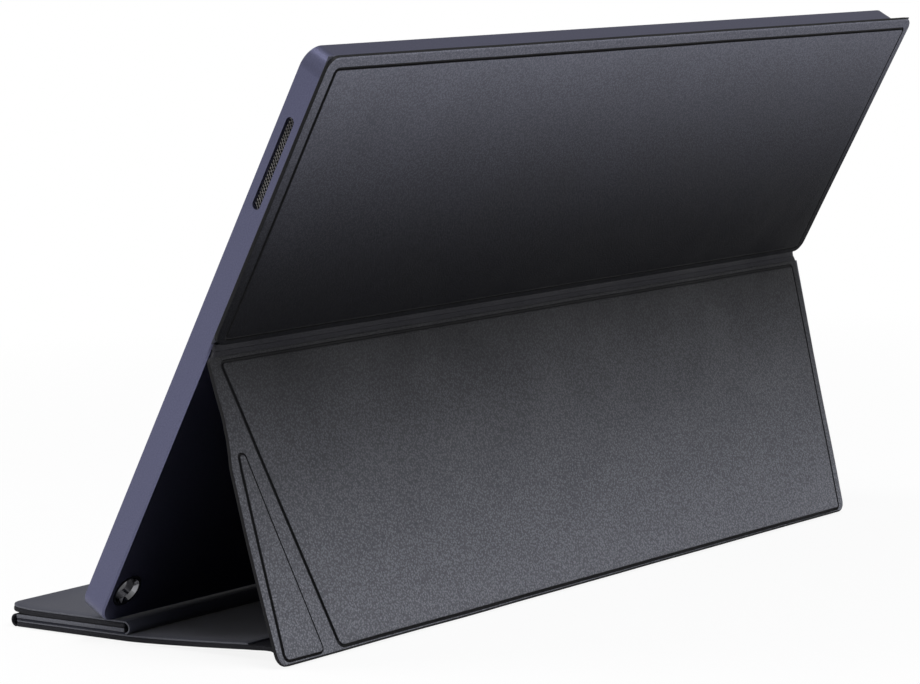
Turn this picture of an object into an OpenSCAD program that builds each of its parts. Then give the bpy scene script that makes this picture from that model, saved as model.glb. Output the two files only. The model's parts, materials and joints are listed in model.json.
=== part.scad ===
// Portable monitor standing in its folding cover.
// +X runs along the width, +Y points to the rear, +Z is up, all in millimetres.
// The origin lies on the desk, under the middle of the monitor's lower rear edge.

/* [Monitor] */
// Width of the monitor
mon_w = 360; // [330:1:400]
// Height of the monitor, measured along its leaning face
mon_h = 227; // [215:1:250]
// Thickness of the monitor
mon_t = 10; // [9.6:0.1:13]
// Lean of the monitor back from upright, in degrees
lean = 30.6; // [24:0.2:36]
// Radius of the monitor's corners, seen from the front
corner_r = 7; // [3:0.5:14]
// Bevel round the rear edge of the housing
edge_bevel = 0.6; // [0.2:0.1:1]
// Wall at the sides of the housing
side_wall = 1.6; // [1:0.1:2]
// Wall at the back of the housing
back_wall = 1.2; // [0.8:0.1:1.6]
// Thickness of the cover glass
glass_t = 1.1; // [0.6:0.1:1.5]
// How far the glass lies below the housing's front rim
glass_recess = 0.1; // [0:0.05:0.4]

/* [Display] */
// Width of the zone for ports and speakers, between each side wall and the picture panel
side_zone = 6.6; // [6.4:0.1:16]
// Distance from the lower edge of the monitor to the picture panel
lcd_rise = 24; // [22:0.5:30]
// Distance from the picture panel to the upper edge of the monitor
upper_border = 7; // [4:0.5:12]
// Thickness of the panel
lcd_t = 1.5; // [1:0.1:1.8]
// Thickness of the light guide behind the panel
guide_t = 1.6; // [1:0.1:2]
// Thickness of the steel tray behind the light guide
tray_t = 0.6; // [0.4:0.1:1]
// Thickness of the circuit boards
board_pcb_t = 1; // [0.6:0.1:1.2]
// Width of the main board
main_pcb_w = 90; // [60:1:140]
// Height of the main board
main_pcb_h = 70; // [40:1:100]
// Height of the circuit strip below the picture panel
strip_h = 5.2; // [3:0.1:5.6]
// Distance of the main board and the display strip from the sides of the picture panel
pcb_inset = 21.8; // [10:0.1:40]
// Distance of the main board from the lower edge of the picture panel
pcb_rise = 16; // [4:1:40]
// Width of the larger flat cable
cable_w = 24; // [10:1:36]
// Length of the larger flat cable
cable_l = 40; // [20:1:60]
// Distance of the flat cables from the lower and upper ends of the main board
cable_inset = 8; // [2:1:20]
// Distance of the tray's holes from its sides
tray_hole_inset = 50; // [20:1:80]
// Distance of the tray's holes from its upper and lower edges
tray_hole_drop = 16; // [10:1:30]

/* [Pen hole] */
// Radius of the hole that takes a pen
pen_hole_r = 4.6; // [3.5:0.1:5]
// Radius of the ring's flare at the rear face
pen_flare_r = 5.3; // [5:0.1:5.8]
// Depth of the flare
pen_flare_d = 1.6; // [0.8:0.1:3]
// Wall of the ring
pen_ring_wall = 1.1; // [0.8:0.1:1.4]
// Distance from the side of the monitor to the middle of the hole
pen_inset = 8.6; // [8.4:0.1:12]
// Distance from the lower edge of the monitor to the middle of the hole
pen_rise = 12.8; // [10:0.2:14]

/* [Sides] */
// Length of a speaker slot
slot_l = 35; // [24:1:44]
// Height of a speaker slot, across the thickness of the monitor
slot_h = 3.5; // [2:0.1:4]
// Distance of the middle of the slots below the upper edge
slot_drop = 41.5; // [30:0.5:56]
// How far a speaker box reaches past its slot at each end
speaker_past = 4; // [2:0.5:8]
// Depth of a speaker box, across the thickness of the monitor
speaker_h = 5.4; // [4.8:0.1:5.6]
// Thickness of the woven mesh behind a slot
mesh_t = 0.4; // [0.2:0.1:0.6]
// Width of the opening of a universal port
usb_w = 8.34; // [8:0.02:8.6]
// Height of the opening of a universal port
usb_h = 2.56; // [2.4:0.02:2.7]
// Width of the opening of the video port
video_w = 10.4; // [9:0.1:12]
// Height of the opening of the video port
video_h = 2.4; // [2:0.1:3]
// Wall of the metal shells of the ports
shell_wall = 0.3; // [0.2:0.05:0.5]
// Depth of the ports
port_d = 6.4; // [5:0.1:6.4]
// Radius of the earphone socket
jack_r = 1.75; // [1.5:0.05:2]
// Depth of the earphone socket
jack_d = 14; // [8:0.5:16]
// Length of a button along the side
button_l = 9; // [7:0.5:12]
// Width of a button across the side
button_w = 2.4; // [2:0.1:3.2]
// How far a button stands out of the side
button_out = 0.6; // [0.45:0.05:1.2]
// Travel of a button
button_travel = 0.4; // [0.2:0.05:0.4]
// Distance between the buttons along the side
button_pitch = 14; // [13:0.5:16]
// Distance of the upper key below the speaker box
key_drop = 24; // [12:0.5:26]
// Distance of the earphone socket above the lower edge
jack_rise = 11; // [8:0.5:16]
// Distance of the lower universal port above the lower edge
port_rise = 30; // [26:0.5:34]
// Distance between neighbouring ports
port_pitch = 14; // [12:0.5:15]

/* [Cover] */
// Thickness of the cover on the monitor's back and of the leg, over a board
cover_t = 2.8; // [2.6:0.1:4]
// Thickness of the soft leather folds, without a board
crease_t = 1.4; // [1.2:0.1:1.8]
// Thickness of the lining
lining_t = 0.5; // [0.3:0.05:0.6]
// Thickness of the stiff boards in the cover
stiff_t = 1.1; // [0.8:0.1:1.2]
// Height of the upper fold on the monitor, from its lower edge
fold_rise = 117; // [110:0.5:124]
// Distance between the two crease lines of the upper fold
fold_gap = 2.6; // [2:0.1:8]
// How far the cover reaches past the monitor's sides and top
cover_past = 1.5; // [0:0.1:3]
// Width of the hem round the boards
hem = 4; // [3:0.1:7]
// Width of the pressed groove round the boards
groove_w = 1; // [0.6:0.1:1.6]
// Depth of the pressed groove
groove_d = 0.6; // [0.2:0.05:0.7]
// Radius of the cover's outer corners
cover_r = 4.5; // [2:0.5:8]
// Length of a magnet in the cover's board
magnet_l = 24; // [10:1:30]
// Width of a magnet
magnet_w = 8; // [4:0.5:12]
// Distance of the outer magnets from the cover's sides
magnet_inset = 31.5; // [20:0.5:50]
// Distance between the magnets of a pair
magnet_pitch = 60; // [40:1:80]
// Distance of the magnets from the cover's upper and lower edges
magnet_drop = 30; // [16:1:45]

/* [Leg] */
// Distance of the leg's foot behind the monitor's lower edge
foot_back = 83.2; // [76:0.2:96]
// How much narrower the leg is at its foot than the cover, on each side
leg_taper = 4; // [0:0.5:8]
// How much narrower the upper fold is than the cover, on each side
neck = 2.5; // [0:0.1:5]
// How far the leg's edge steps in beside its small board
leg_step = 2; // [0:0.1:4]
// Distance of that step below the leg's upper edge
step_drop = 27; // [20:1:40]
// Width of the hem beside the small board
small_hem = 2.2; // [1.4:0.1:4]
// Radius of the leg's corners
leg_r = 2.5; // [1:0.1:5]
// Height of the soft foot below the leg
foot_h = 1.8; // [1.6:0.1:4]
// Slant of the gap between the leg's two boards, in degrees
slant = 14.8; // [8:0.2:20]
// Width of the gap between the leg's two boards
slant_gap = 6.3; // [4:0.1:9]
// Radius of the corners of the boards
stiff_r = 1.6; // [1:0.1:2.4]

/* [Mat] */
// Width of the folded mat
mat_w = 343; // [320:1:356]
// Thickness of one layer of the mat
layer_t = 2.4; // [2.2:0.1:3]
// Distance of the mat's front fold ahead of the monitor's lower edge
mat_front = 50; // [42:0.5:60]
// Distance of the mat's rear fold behind the monitor's lower edge
mat_rear = 4.5; // [3:0.5:5]
// Length of the soft zone without a board, under the monitor's edge
soft_zone = 18.5; // [12:0.5:24]
// Length of the soft spine in front of the leg's foot
spine_l = 21; // [14:0.5:28]

/* [Hidden] */

$fn = 48;
eps = 0.01;
half_w = mon_w / 2;
stack_h = 3 * layer_t + 0.06;
cavity_front = -mon_t + glass_recess + glass_t;
glass_gap = 0.1;
fit_gap = 0.15;
lcd_w = mon_w - 2 * (side_wall + side_zone);
lcd_h = mon_h - lcd_rise - upper_border;
mid_w = -mon_t / 2;

// Where the stack of display pieces lies, from the glass back
lcd_w0 = cavity_front + 0.1;
guide_w0 = lcd_w0 + lcd_t;
tray_w0 = guide_w0 + guide_t;
tray_w1 = tray_w0 + tray_t;

// Pen hole and the boss round it
pen_x = half_w - pen_inset;
ring_r = pen_flare_r + pen_ring_wall;
boss_r = ring_r + side_wall;

// Circuit boards
chip_t = 0.9;
main_x0 = -lcd_w / 2 + pcb_inset;
main_x1 = main_x0 + main_pcb_w;
main_v0 = lcd_rise + pcb_rise;

// Heights of the things on the port side, from the lower edge
slot_rise = mon_h - slot_drop;
speaker_half_l = slot_l / 2 + speaker_past;
usb_lower_rise = port_rise;
usb_upper_rise = usb_lower_rise + port_pitch;
video_rise = usb_upper_rise + port_pitch + (video_w - usb_w) / 2;
plus_rise = slot_rise - speaker_half_l - key_drop;
minus_rise = plus_rise - button_pitch;
power_rise = minus_rise - button_pitch;
light_rise = (video_rise + power_rise) / 2;
key_board_past = button_l / 2 + 3.5;
port_board_past = usb_w / 2 + 3;
flange = 0.8;
flange_t = 0.6;
button_gap = 0.15;

// Side view of the cover: [y, z] of the crease lines
thin = crease_t / 2;
fold_clear = 0.3;
fold_lift = 0.05;
fold_end = thin + fold_clear;
function leaned_point(w, v) = [v * sin(lean) + w * cos(lean), stack_h + v * cos(lean) - w * sin(lean)];
function unit(v) = v / norm(v);
top_crease = leaned_point(thin + fold_lift, fold_rise);
foot_crease = [foot_back - foot_h / 3, thin + foot_h];
spine_crease = [foot_back, thin];
leg_crease = top_crease + fold_gap * unit(foot_crease - top_crease);
leg_vector = foot_crease - leg_crease;
leg_l = norm(leg_vector);
leg_tilt = atan2(leg_vector[0], -leg_vector[1]);

// The cover's leather, from its thin zone out
lining_w = 0;
stiff_w0 = lining_w + lining_t;
stiff_w1 = stiff_w0 + stiff_t;
hem_t = cover_t - 0.6;
cover_half = half_w + cover_past;
cover_top = mon_h + cover_past + 1;
cover_low = fold_rise + fold_end;
leg_half_top = cover_half;
leg_half_foot = cover_half - leg_taper;
leg_high = -fold_end;
leg_low = -leg_l + fold_end;

// The mat, from its underside up
mat_half = mat_w / 2;
mat_stiff_t = 1;
mat_skin_t = (layer_t - mat_stiff_t) / 2;
front_y = -mat_front;
rear_y = mat_rear;
mat_y0 = front_y + fold_clear;
mat_y1 = spine_crease[0] - spine_l;
stiff_inset = 3;

// Plain shapes

// Rounds each corner of p by its own radius in the list r
function rounded_points(p, r, steps = 6) = [
    for (i = [0 : len(p) - 1])
        let (
            a = p[(i + len(p) - 1) % len(p)],
            b = p[i],
            c = p[(i + 1) % len(p)],
            u = unit(a - b),
            v = unit(c - b),
            half = acos(u * v) / 2,
            mid = b + unit(u + v) * r[i] / sin(half),
            from = unit(b + u * r[i] / tan(half) - mid),
            to = unit(b + v * r[i] / tan(half) - mid)
        )
        for (k = [0 : steps])
            mid + r[i] * unit(from * (steps - k) + to * k)
];

module round_rect(x0, x1, y0, y1, r) {
    translate([x0 + r, y0]) square([x1 - x0 - 2 * r, y1 - y0]);
    translate([x0, y0 + r]) square([x1 - x0, y1 - y0 - 2 * r]);
    for (x = [x0 + r, x1 - r], y = [y0 + r, y1 - r])
        translate([x, y]) circle(r);
}

module slot_shape(l, h) {
    square([l - h, h], center = true);
    for (side = [-1, 1])
        translate([side * (l - h) / 2, 0]) circle(h / 2);
}

// Carries local (x, rear-facing normal, height along the face) to the leaning monitor
module leaned() {
    translate([0, 0, stack_h]) rotate([-lean, 0, 0]) children();
}

// The same for the leg, whose height runs down from its upper crease line
module on_leg() {
    translate([0, leg_crease[0], leg_crease[1]]) rotate([leg_tilt, 0, 0]) children();
}

// Extrudes a flat shape drawn in width and height from depth w0 to depth w1
module upright(w0, w1) {
    translate([0, w1, 0]) rotate([90, 0, 0]) linear_extrude(w1 - w0) children();
}

// Extrudes a flat shape drawn in height and depth out of a side, from x0 to x1
module sideways(x0, x1) {
    translate([x0, 0, 0]) rotate([90, 0, 90]) linear_extrude(x1 - x0) children();
}

module slab(x0, x1, v0, v1, w0, w1, r) {
    upright(w0, w1) round_rect(x0, x1, v0, v1, r);
}

module block(x0, x1, w0, w1, v0, v1) {
    translate([x0, w0, v0]) cube([x1 - x0, w1 - w0, v1 - v0]);
}

// A slot or port outline in a side wall, long way up the side
module side_slot(x0, x1, rise, l, h) {
    sideways(x0, x1) translate([mid_w, rise]) rotate(90) slot_shape(l, h);
}

// Monitor housing

// A rounded slab whose rear edge is bevelled, made of four posts and two crossing bars
module housing_form() {
    c = corner_r;
    b = edge_bevel;
    for (x = [-half_w + c, half_w - c], v = [c, mon_h - c])
        translate([x, 0, v]) rotate([90, 0, 0]) {
            translate([0, 0, b]) cylinder(r = c, h = mon_t - b);
            cylinder(r1 = c - b, r2 = c, h = b);
        }
    sideways(-half_w + c, half_w - c) polygon([
        [-mon_t, 0], [-b, 0], [0, b], [0, mon_h - b], [-b, mon_h], [-mon_t, mon_h]
    ]);
    translate([0, 0, c]) linear_extrude(mon_h - 2 * c) polygon([
        [-half_w, -mon_t], [-half_w, -b], [-half_w + b, 0],
        [half_w - b, 0], [half_w, -b], [half_w, -mon_t]
    ]);
}

module rear_housing() {
    s = side_wall;
    color("slategray") leaned() difference() {
        housing_form();
        difference() {
            slab(-half_w + s, half_w - s, s, mon_h - s, -mon_t - 1, -back_wall, corner_r - s);
            translate([pen_x, 0, pen_rise]) rotate([90, 0, 0])
                cylinder(r = boss_r, h = -cavity_front - glass_gap);
        }
        translate([pen_x, 1, pen_rise]) rotate([90, 0, 0])
            cylinder(r = ring_r + fit_gap, h = mon_t + 2);
        side_slot(-half_w - 1, -half_w + s + eps, slot_rise, slot_l, slot_h);
        side_slot(half_w - s - eps, half_w + 1, slot_rise, slot_l, slot_h);
        for (rise = [usb_lower_rise, usb_upper_rise])
            side_slot(-half_w - 1, -half_w + s + eps, rise,
                usb_w + 2 * (shell_wall + fit_gap), usb_h + 2 * (shell_wall + fit_gap));
        side_slot(-half_w - 1, -half_w + s + eps, video_rise,
            video_w + 2 * (shell_wall + fit_gap), video_h + 2 * (shell_wall + fit_gap));
        for (rise = [power_rise, minus_rise, plus_rise])
            side_slot(-half_w - 1, -half_w + s + eps, rise,
                button_l + 2 * button_gap, button_w + 2 * button_gap);
        translate([-half_w - 1, mid_w, jack_rise]) rotate([0, 90, 0])
            cylinder(r = jack_r + 0.75 + fit_gap, h = s + 2);
        translate([-half_w - 1, mid_w, light_rise]) rotate([0, 90, 0])
            cylinder(r = 0.8 + fit_gap, h = s + 2);
    }
}

// The glass has a round hole where the pen ring passes
module front_glass() {
    s = side_wall + glass_gap;
    color("black") leaned() difference() {
        slab(-half_w + s, half_w - s, s, mon_h - s, -mon_t + glass_recess, cavity_front,
            corner_r - s);
        translate([pen_x, 1, pen_rise]) rotate([90, 0, 0])
            cylinder(r = ring_r + fit_gap, h = mon_t + 2);
    }
}

// Display stack

// The flat piece of the display stack that starts at depth w0
module stack_sheet(w0, t, shrink, r) {
    leaned() slab(-lcd_w / 2 + shrink, lcd_w / 2 - shrink,
        lcd_rise + shrink, lcd_rise + lcd_h - shrink, w0, w0 + t, r);
}

module lcd_panel() color("darkslategray") stack_sheet(lcd_w0, lcd_t, 0, 1);

module light_guide() color("white") stack_sheet(guide_w0, guide_t, 1, 0.6);

module back_tray() {
    color("silver") leaned() difference() {
        slab(-lcd_w / 2, lcd_w / 2, lcd_rise, lcd_rise + lcd_h, tray_w0, tray_w1, 1);
        for (x = [-1, 1] * (lcd_w / 2 - tray_hole_inset),
                v = [lcd_rise + tray_hole_drop, lcd_rise + lcd_h - tray_hole_drop])
            translate([x, tray_w1 + 1, v]) rotate([90, 0, 0]) cylinder(r = 3, h = tray_t + 2);
    }
}

// Narrow circuit strip along the lower edge of the picture panel
module display_strip() {
    half = lcd_w / 2 - pcb_inset;
    color("seagreen") leaned()
        block(-half, half, lcd_w0, lcd_w0 + board_pcb_t, lcd_rise - strip_h - 0.3, lcd_rise - 0.3);
}

// Plastic frame at the sides and top of the display stack, open below for its circuit strip
module bezel_frame() {
    s = side_wall + glass_gap;
    gap = 0.2;
    low = pen_rise + boss_r + 0.3;
    color("dimgray") leaned() difference() {
        slab(-half_w + s, half_w - s, low, mon_h - s, lcd_w0, lcd_w0 + 0.8, corner_r - side_wall);
        slab(-lcd_w / 2 - gap, lcd_w / 2 + gap, low - 3, lcd_rise + lcd_h + gap,
            lcd_w0 - 1, lcd_w0 + 2, 1.2);
    }
}

// Circuit boards and cables

// Circuit board with its chips, lying on the back wall's side of the tray
module main_board() {
    w0 = tray_w1 + 0.1;
    w1 = w0 + board_pcb_t;
    leaned() {
        color("seagreen") block(main_x0, main_x1, w0, w1, main_v0, main_v0 + main_pcb_h);
        // Each chip: its place across and up the board, as shares, and its side
        for (chip = [[0.22, 0.3, 14], [0.55, 0.65, 12], [0.8, 0.2, 9]])
            color("black") translate([
                main_x0 + chip[0] * main_pcb_w, (w1 + w1 + chip_t) / 2, main_v0 + chip[1] * main_pcb_h
            ]) cube([chip[2], chip_t, chip[2]], center = true);
    }
}

module port_board() {
    color("seagreen") leaned()
        block(-half_w + side_wall + 0.4, -lcd_w / 2 - 0.2, port_back, port_back + board_pcb_t,
            usb_lower_rise - port_board_past, video_rise + port_board_past);
}

module button_board() {
    x0 = -half_w + side_wall + flange_t + button_travel + 0.9;
    leaned() {
        color("seagreen") block(x0 + 0.6, x0 + 0.6 + board_pcb_t, mid_w - 1.4, -back_wall,
            power_rise - key_board_past, plus_rise + key_board_past);
        for (rise = [power_rise, minus_rise, plus_rise])
            color("silver") block(x0, x0 + 0.6, mid_w - 1.1, mid_w + 1.1, rise - 1.6, rise + 1.6);
    }
}

// Flat cables lie flat on the tray, between it and the housing's back wall
module flat_cable(x0, x1, v0, v1) {
    color("goldenrod") leaned() block(x0, x1, tray_w1 + 0.1, tray_w1 + 0.3, v0, v1);
}

module display_cable() {
    low = main_v0 + cable_inset;
    flat_cable(main_x1 + 0.05, main_x1 + cable_l, low, low + cable_w);
}

module button_cable() {
    high = main_v0 + main_pcb_h - cable_inset;
    flat_cable(-lcd_w / 2 + 1, main_x0 - 0.05, high - cable_w / 3, high);
}

// Side parts

module pen_ring() {
    depth = mon_t - 0.3;
    color("white") leaned() translate([pen_x, 0, pen_rise]) rotate([90, 0, 0]) difference() {
        cylinder(r = ring_r, h = depth);
        translate([0, 0, -1]) cylinder(r = pen_hole_r, h = depth + 2);
        translate([0, 0, -eps])
            cylinder(r1 = pen_flare_r, r2 = pen_hole_r, h = pen_flare_d);
    }
}

// Speaker box with its cone window facing the slot; side is -1 or 1
module speaker_box(side) {
    x0 = half_w - side_wall - side_zone + 0.3;
    x1 = half_w - side_wall - mesh_t;
    color("black") leaned() scale([side, 1, 1]) difference() {
        block(x0, x1, mid_w - speaker_h / 2, mid_w + speaker_h / 2,
            slot_rise - speaker_half_l, slot_rise + speaker_half_l);
        sideways(x1 - 1.5, x1 + 1) translate([mid_w, slot_rise]) rotate(90)
            slot_shape(slot_l - 2, slot_h);
    }
}

module speaker_left() speaker_box(1);

module speaker_right() speaker_box(-1);

module speaker_mesh(side) {
    x1 = half_w - side_wall;
    color("gray") leaned() scale([side, 1, 1])
        side_slot(x1 - mesh_t, x1, slot_rise, slot_l + 2, slot_h + 1.4);
}

module speaker_mesh_left() speaker_mesh(1);

module speaker_mesh_right() speaker_mesh(-1);

// Metal shell of a port, with its tongue
module port(rise, w, h, tongue) {
    x0 = -half_w + 0.2;
    x1 = x0 + port_d;
    leaned() {
        color("silver") difference() {
            side_slot(x0, x1, rise, w + 2 * shell_wall, h + 2 * shell_wall);
            side_slot(x0 - 1, x1 - 0.8, rise, w, h);
        }
        color("black") block(x0 + 1, x1 - 0.8, mid_w - tongue / 2, mid_w + tongue / 2,
            rise - w / 2 + 1.2, rise + w / 2 - 1.2);
    }
}

port_back = mid_w + usb_h / 2 + shell_wall + 0.05;

module usb_port_upper() port(usb_upper_rise, usb_w, usb_h, 0.7);

module usb_port_lower() port(usb_lower_rise, usb_w, usb_h, 0.7);

module video_port() port(video_rise, video_w, video_h, 0.9);

// Earphone socket: a barrel with a block behind it
module audio_jack() {
    x0 = -half_w + 0.2;
    color("black") leaned() difference() {
        union() {
            translate([x0, mid_w, jack_rise]) rotate([0, 90, 0])
                cylinder(r = jack_r + 0.75, h = side_wall + 0.4);
            block(x0 + side_wall + 0.1, x0 + jack_d + 1, mid_w - 2.6, mid_w + 2.6,
                jack_rise - 3, jack_rise + 3);
        }
        translate([x0 - 1, mid_w, jack_rise]) rotate([0, 90, 0])
            cylinder(r = jack_r, h = jack_d + 1);
    }
}

module status_light() {
    color("white") leaned() translate([-half_w + 0.1, mid_w, light_rise]) rotate([0, 90, 0])
        cylinder(r = 0.8, h = side_wall + 1);
}

// Pill-shaped button, with the flange that keeps it behind the wall
module side_button(rise) {
    x_in = -half_w + side_wall;
    color("slategray") leaned() {
        side_slot(-half_w - button_out, x_in + 0.05 + eps, rise, button_l, button_w);
        side_slot(x_in + 0.05, x_in + 0.05 + flange_t, rise,
            button_l + 2 * flange, button_w + 2 * flange);
    }
}

module power_button() side_button(power_rise);

module plus_key() side_button(plus_rise);

module minus_key() side_button(minus_rise);

// Cover on the monitor's back

stiff_half = cover_half - hem;

// A board's outline grown by a distance; the corners stay round
module cover_board_shape(grow) {
    round_rect(-stiff_half - grow, stiff_half + grow, cover_low + hem - 1.5 - grow,
        cover_top - hem + grow, stiff_r + grow);
}

module cover_outline() {
    round_rect(-cover_half, cover_half, cover_low, cover_top, cover_r);
}

module cover_leather() {
    color("darkslategray") leaned() difference() {
        union() {
            upright(stiff_w0, hem_t) cover_outline();
            upright(stiff_w0, cover_t) cover_board_shape(0);
        }
        upright(hem_t - groove_d, cover_t + 1) difference() {
            cover_board_shape(groove_w);
            cover_board_shape(0);
        }
        upright(stiff_w0 - 1, stiff_w1) cover_board_shape(-0.6);
    }
}

module cover_board() {
    color("tan") leaned() difference() {
        upright(stiff_w0, stiff_w1) cover_board_shape(-0.6);
        magnet_places(0.02);
    }
}

module cover_lining() {
    color("slategray") leaned() upright(lining_w, stiff_w0) cover_outline();
}

// Flat magnets let into the board, which hold the cover to the monitor
module magnet_places(grow) {
    outer = cover_half - magnet_inset;
    half_l = magnet_l / 2 + grow;
    half_h = magnet_w / 2 + grow;
    for (x = [-outer, magnet_pitch - outer, outer - magnet_pitch, outer],
            v = [cover_low + magnet_drop, cover_top - magnet_drop])
        block(x - half_l, x + half_l, stiff_w0 - grow, stiff_w1 + grow, v - half_h, v + half_h);
}

module cover_magnets() color("silver") leaned() magnet_places(0);

// Folds: thin leather bars with round edges, set on a crease line at each side

module fold_bar(from, to, half) {
    d = to - from;
    translate([0, from[0], from[1]]) rotate([atan2(d[1], d[0]), 0, 0]) sideways(-half, half) {
        translate([0, -thin]) square([norm(d), crease_t]);
        circle(thin);
        translate([norm(d), 0]) circle(thin);
    }
}

module upper_fold() color("black") fold_bar(leg_crease, top_crease, cover_half - neck);

module foot_fold() color("black") fold_bar(spine_crease, foot_crease, leg_half_foot);

// Leg

leg_w0 = -thin;
leg_stiff_w0 = leg_w0 + lining_t;
leg_stiff_w1 = leg_stiff_w0 + stiff_t;
leg_hem_w = leg_w0 + hem_t;
leg_out_w = leg_w0 + cover_t;
board_high = leg_high - 0.6;
board_low = leg_low + 1.2;

// Half width of the leg at height z, which shrinks towards the foot
function leg_half(z) = leg_half_top - leg_taper * (z / -leg_l);
// Edge of the slanting gap, at height z, moved right by a distance
slant_start = leg_half_top - hem - 2;
function slant_x(z, move) = slant_start + (z - board_high) * tan(slant) + move / cos(slant);

function main_board_points(inset) = rounded_points([
    [-leg_half(board_low) + hem + inset, board_low + inset],
    [slant_x(board_low + inset, -inset), board_low + inset],
    [slant_x(board_high - inset, -inset), board_high - inset],
    [-leg_half(board_high) + hem + inset, board_high - inset]
], (stiff_r - inset / 2) * [1, 1, 1, 1]);

// The leg's near edge below its step, at height z
step_x = leg_half(-step_drop) - leg_step;
edge_slope = (step_x - leg_half_foot) / (-step_drop - leg_low);
function near_edge(z) = leg_half_foot + edge_slope * (z - leg_low);

// The small board ends above where its slanting edge meets the hem
corner_tip = (near_edge(0) - small_hem - slant_x(0, slant_gap)) / (tan(slant) - edge_slope);

function corner_board_points(inset) = rounded_points([
    [slant_x(board_low + inset, slant_gap + inset), board_low + inset],
    [near_edge(board_low) - small_hem - inset, board_low + inset],
    [near_edge(corner_tip) - small_hem - inset, corner_tip - 6 * inset]
], (stiff_r - inset / 2) * [1, 1, 0.7]);

module leg_outline() {
    polygon(rounded_points([
        [-leg_half_foot, leg_low],
        [leg_half_foot, leg_low],
        [step_x, -step_drop],
        [leg_half(8 - step_drop), 8 - step_drop],
        [leg_half_top, leg_high],
        [-leg_half_top, leg_high]
    ], leg_r * [1, 1, 1, 1, 1, 1]));
}

module leg_leather() {
    color("darkslategray") on_leg() difference() {
        union() {
            upright(leg_stiff_w0, leg_hem_w - groove_d) leg_outline();
            difference() {
                upright(leg_stiff_w0, leg_hem_w) leg_outline();
                upright(leg_stiff_w0 - 1, leg_hem_w + 1) {
                    polygon(main_board_points(-groove_w));
                    polygon(corner_board_points(-groove_w));
                }
            }
            upright(leg_stiff_w0, leg_out_w) {
                polygon(main_board_points(0));
                polygon(corner_board_points(0));
            }
        }
        upright(leg_stiff_w0 - 1, leg_stiff_w1) {
            polygon(main_board_points(0.6));
            polygon(corner_board_points(0.6));
        }
    }
}

module leg_board() {
    color("tan") on_leg() upright(leg_stiff_w0, leg_stiff_w1) polygon(main_board_points(0.6));
}

module corner_board() {
    color("tan") on_leg() upright(leg_stiff_w0, leg_stiff_w1) polygon(corner_board_points(0.6));
}

module leg_lining() color("slategray") on_leg() upright(leg_w0, leg_stiff_w0) leg_outline();

// Mat: three layers folded in a flat zigzag under the monitor

// A flat sheet from y0 to y1, between heights z0 and z1
module sheet(half, y0, y1, z0, z1, r = 0) {
    translate([0, 0, z0]) linear_extrude(z1 - z0)
        if (r > 0)
            round_rect(-half, half, y0, y1, r);
        else
            translate([-half, y0]) square([2 * half, y1 - y0]);
}

// A skin with a pocket for its board, open towards the lining; up is 1 or -1
module skin(half, y0, y1, z0, up, b0, b1) {
    z_in = z0 + up * mat_skin_t;
    z_mid = z_in + up * mat_stiff_t;
    difference() {
        sheet(half, y0, y1, min(z0, z_mid), max(z0, z_mid));
        sheet(half - stiff_inset, b0, b1, min(z_in, z_mid + up), max(z_in, z_mid + up), stiff_r);
    }
}

module stiff_sheet(half, b0, b1, z0, up) {
    z_in = z0 + up * mat_skin_t;
    z_mid = z_in + up * mat_stiff_t;
    sheet(half - stiff_inset, b0, b1, min(z_in, z_mid), max(z_in, z_mid), stiff_r);
}

module lining_sheet(half, y0, y1, z0, up) {
    z_mid = z0 + up * (mat_skin_t + mat_stiff_t);
    z_out = z0 + up * layer_t;
    sheet(half, y0, y1, min(z_mid, z_out), max(z_mid, z_out));
}

mat_b0 = mat_y0 + stiff_inset;
mat_b1 = mat_y1 - 0.4;

module mat_leather() color("darkslategray") skin(mat_half, mat_y0, mat_y1, 0, 1, mat_b0, mat_b1);

module mat_board() color("tan") stiff_sheet(mat_half, mat_b0, mat_b1, 0, 1);

module mat_lining() color("slategray") lining_sheet(mat_half, mat_y0, mat_y1, 0, 1);

// The soft spine is thinner than the layer that it joins
module spine_strip() {
    color("black") sheet(mat_half, mat_y1, spine_crease[0] - fold_end, 0, crease_t);
}

mid_z = 2 * layer_t;
mid_y1 = rear_y - fold_clear;
mid_b1 = mid_y1 - stiff_inset;

module middle_leather() {
    color("darkslategray") skin(mat_half, mat_y0, mid_y1, mid_z, -1, mat_b0, mid_b1);
}

module middle_board() color("tan") stiff_sheet(mat_half, mat_b0, mid_b1, mid_z, -1);

module middle_lining() color("slategray") lining_sheet(mat_half, mat_y0, mid_y1, mid_z, -1);

flap_y0 = front_y - 2;
flap_b0 = flap_y0 + stiff_inset;
flap_b1 = rear_y - soft_zone;

module flap_leather() {
    color("darkslategray") skin(mat_half, flap_y0, mid_y1, mid_z, 1, flap_b0, flap_b1);
}

module flap_board() color("tan") stiff_sheet(mat_half, flap_b0, flap_b1, mid_z, 1);

module flap_lining() color("slategray") lining_sheet(mat_half, flap_y0, mid_y1, mid_z, 1);

// Half-round fold that joins two layers at height z; side is -1 in front, 1 at the rear
module half_fold(y, z, side) {
    sideways(-mat_half, mat_half) translate([y, z]) intersection() {
        difference() {
            circle(layer_t);
            circle(layer_t - mat_skin_t);
        }
        translate([side > 0 ? 0 : -layer_t, -layer_t]) square([layer_t, 2 * layer_t]);
    }
}

module front_fold() color("black") half_fold(front_y, layer_t, -1);

module rear_fold() color("slategray") half_fold(rear_y, mid_z, 1);

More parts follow.
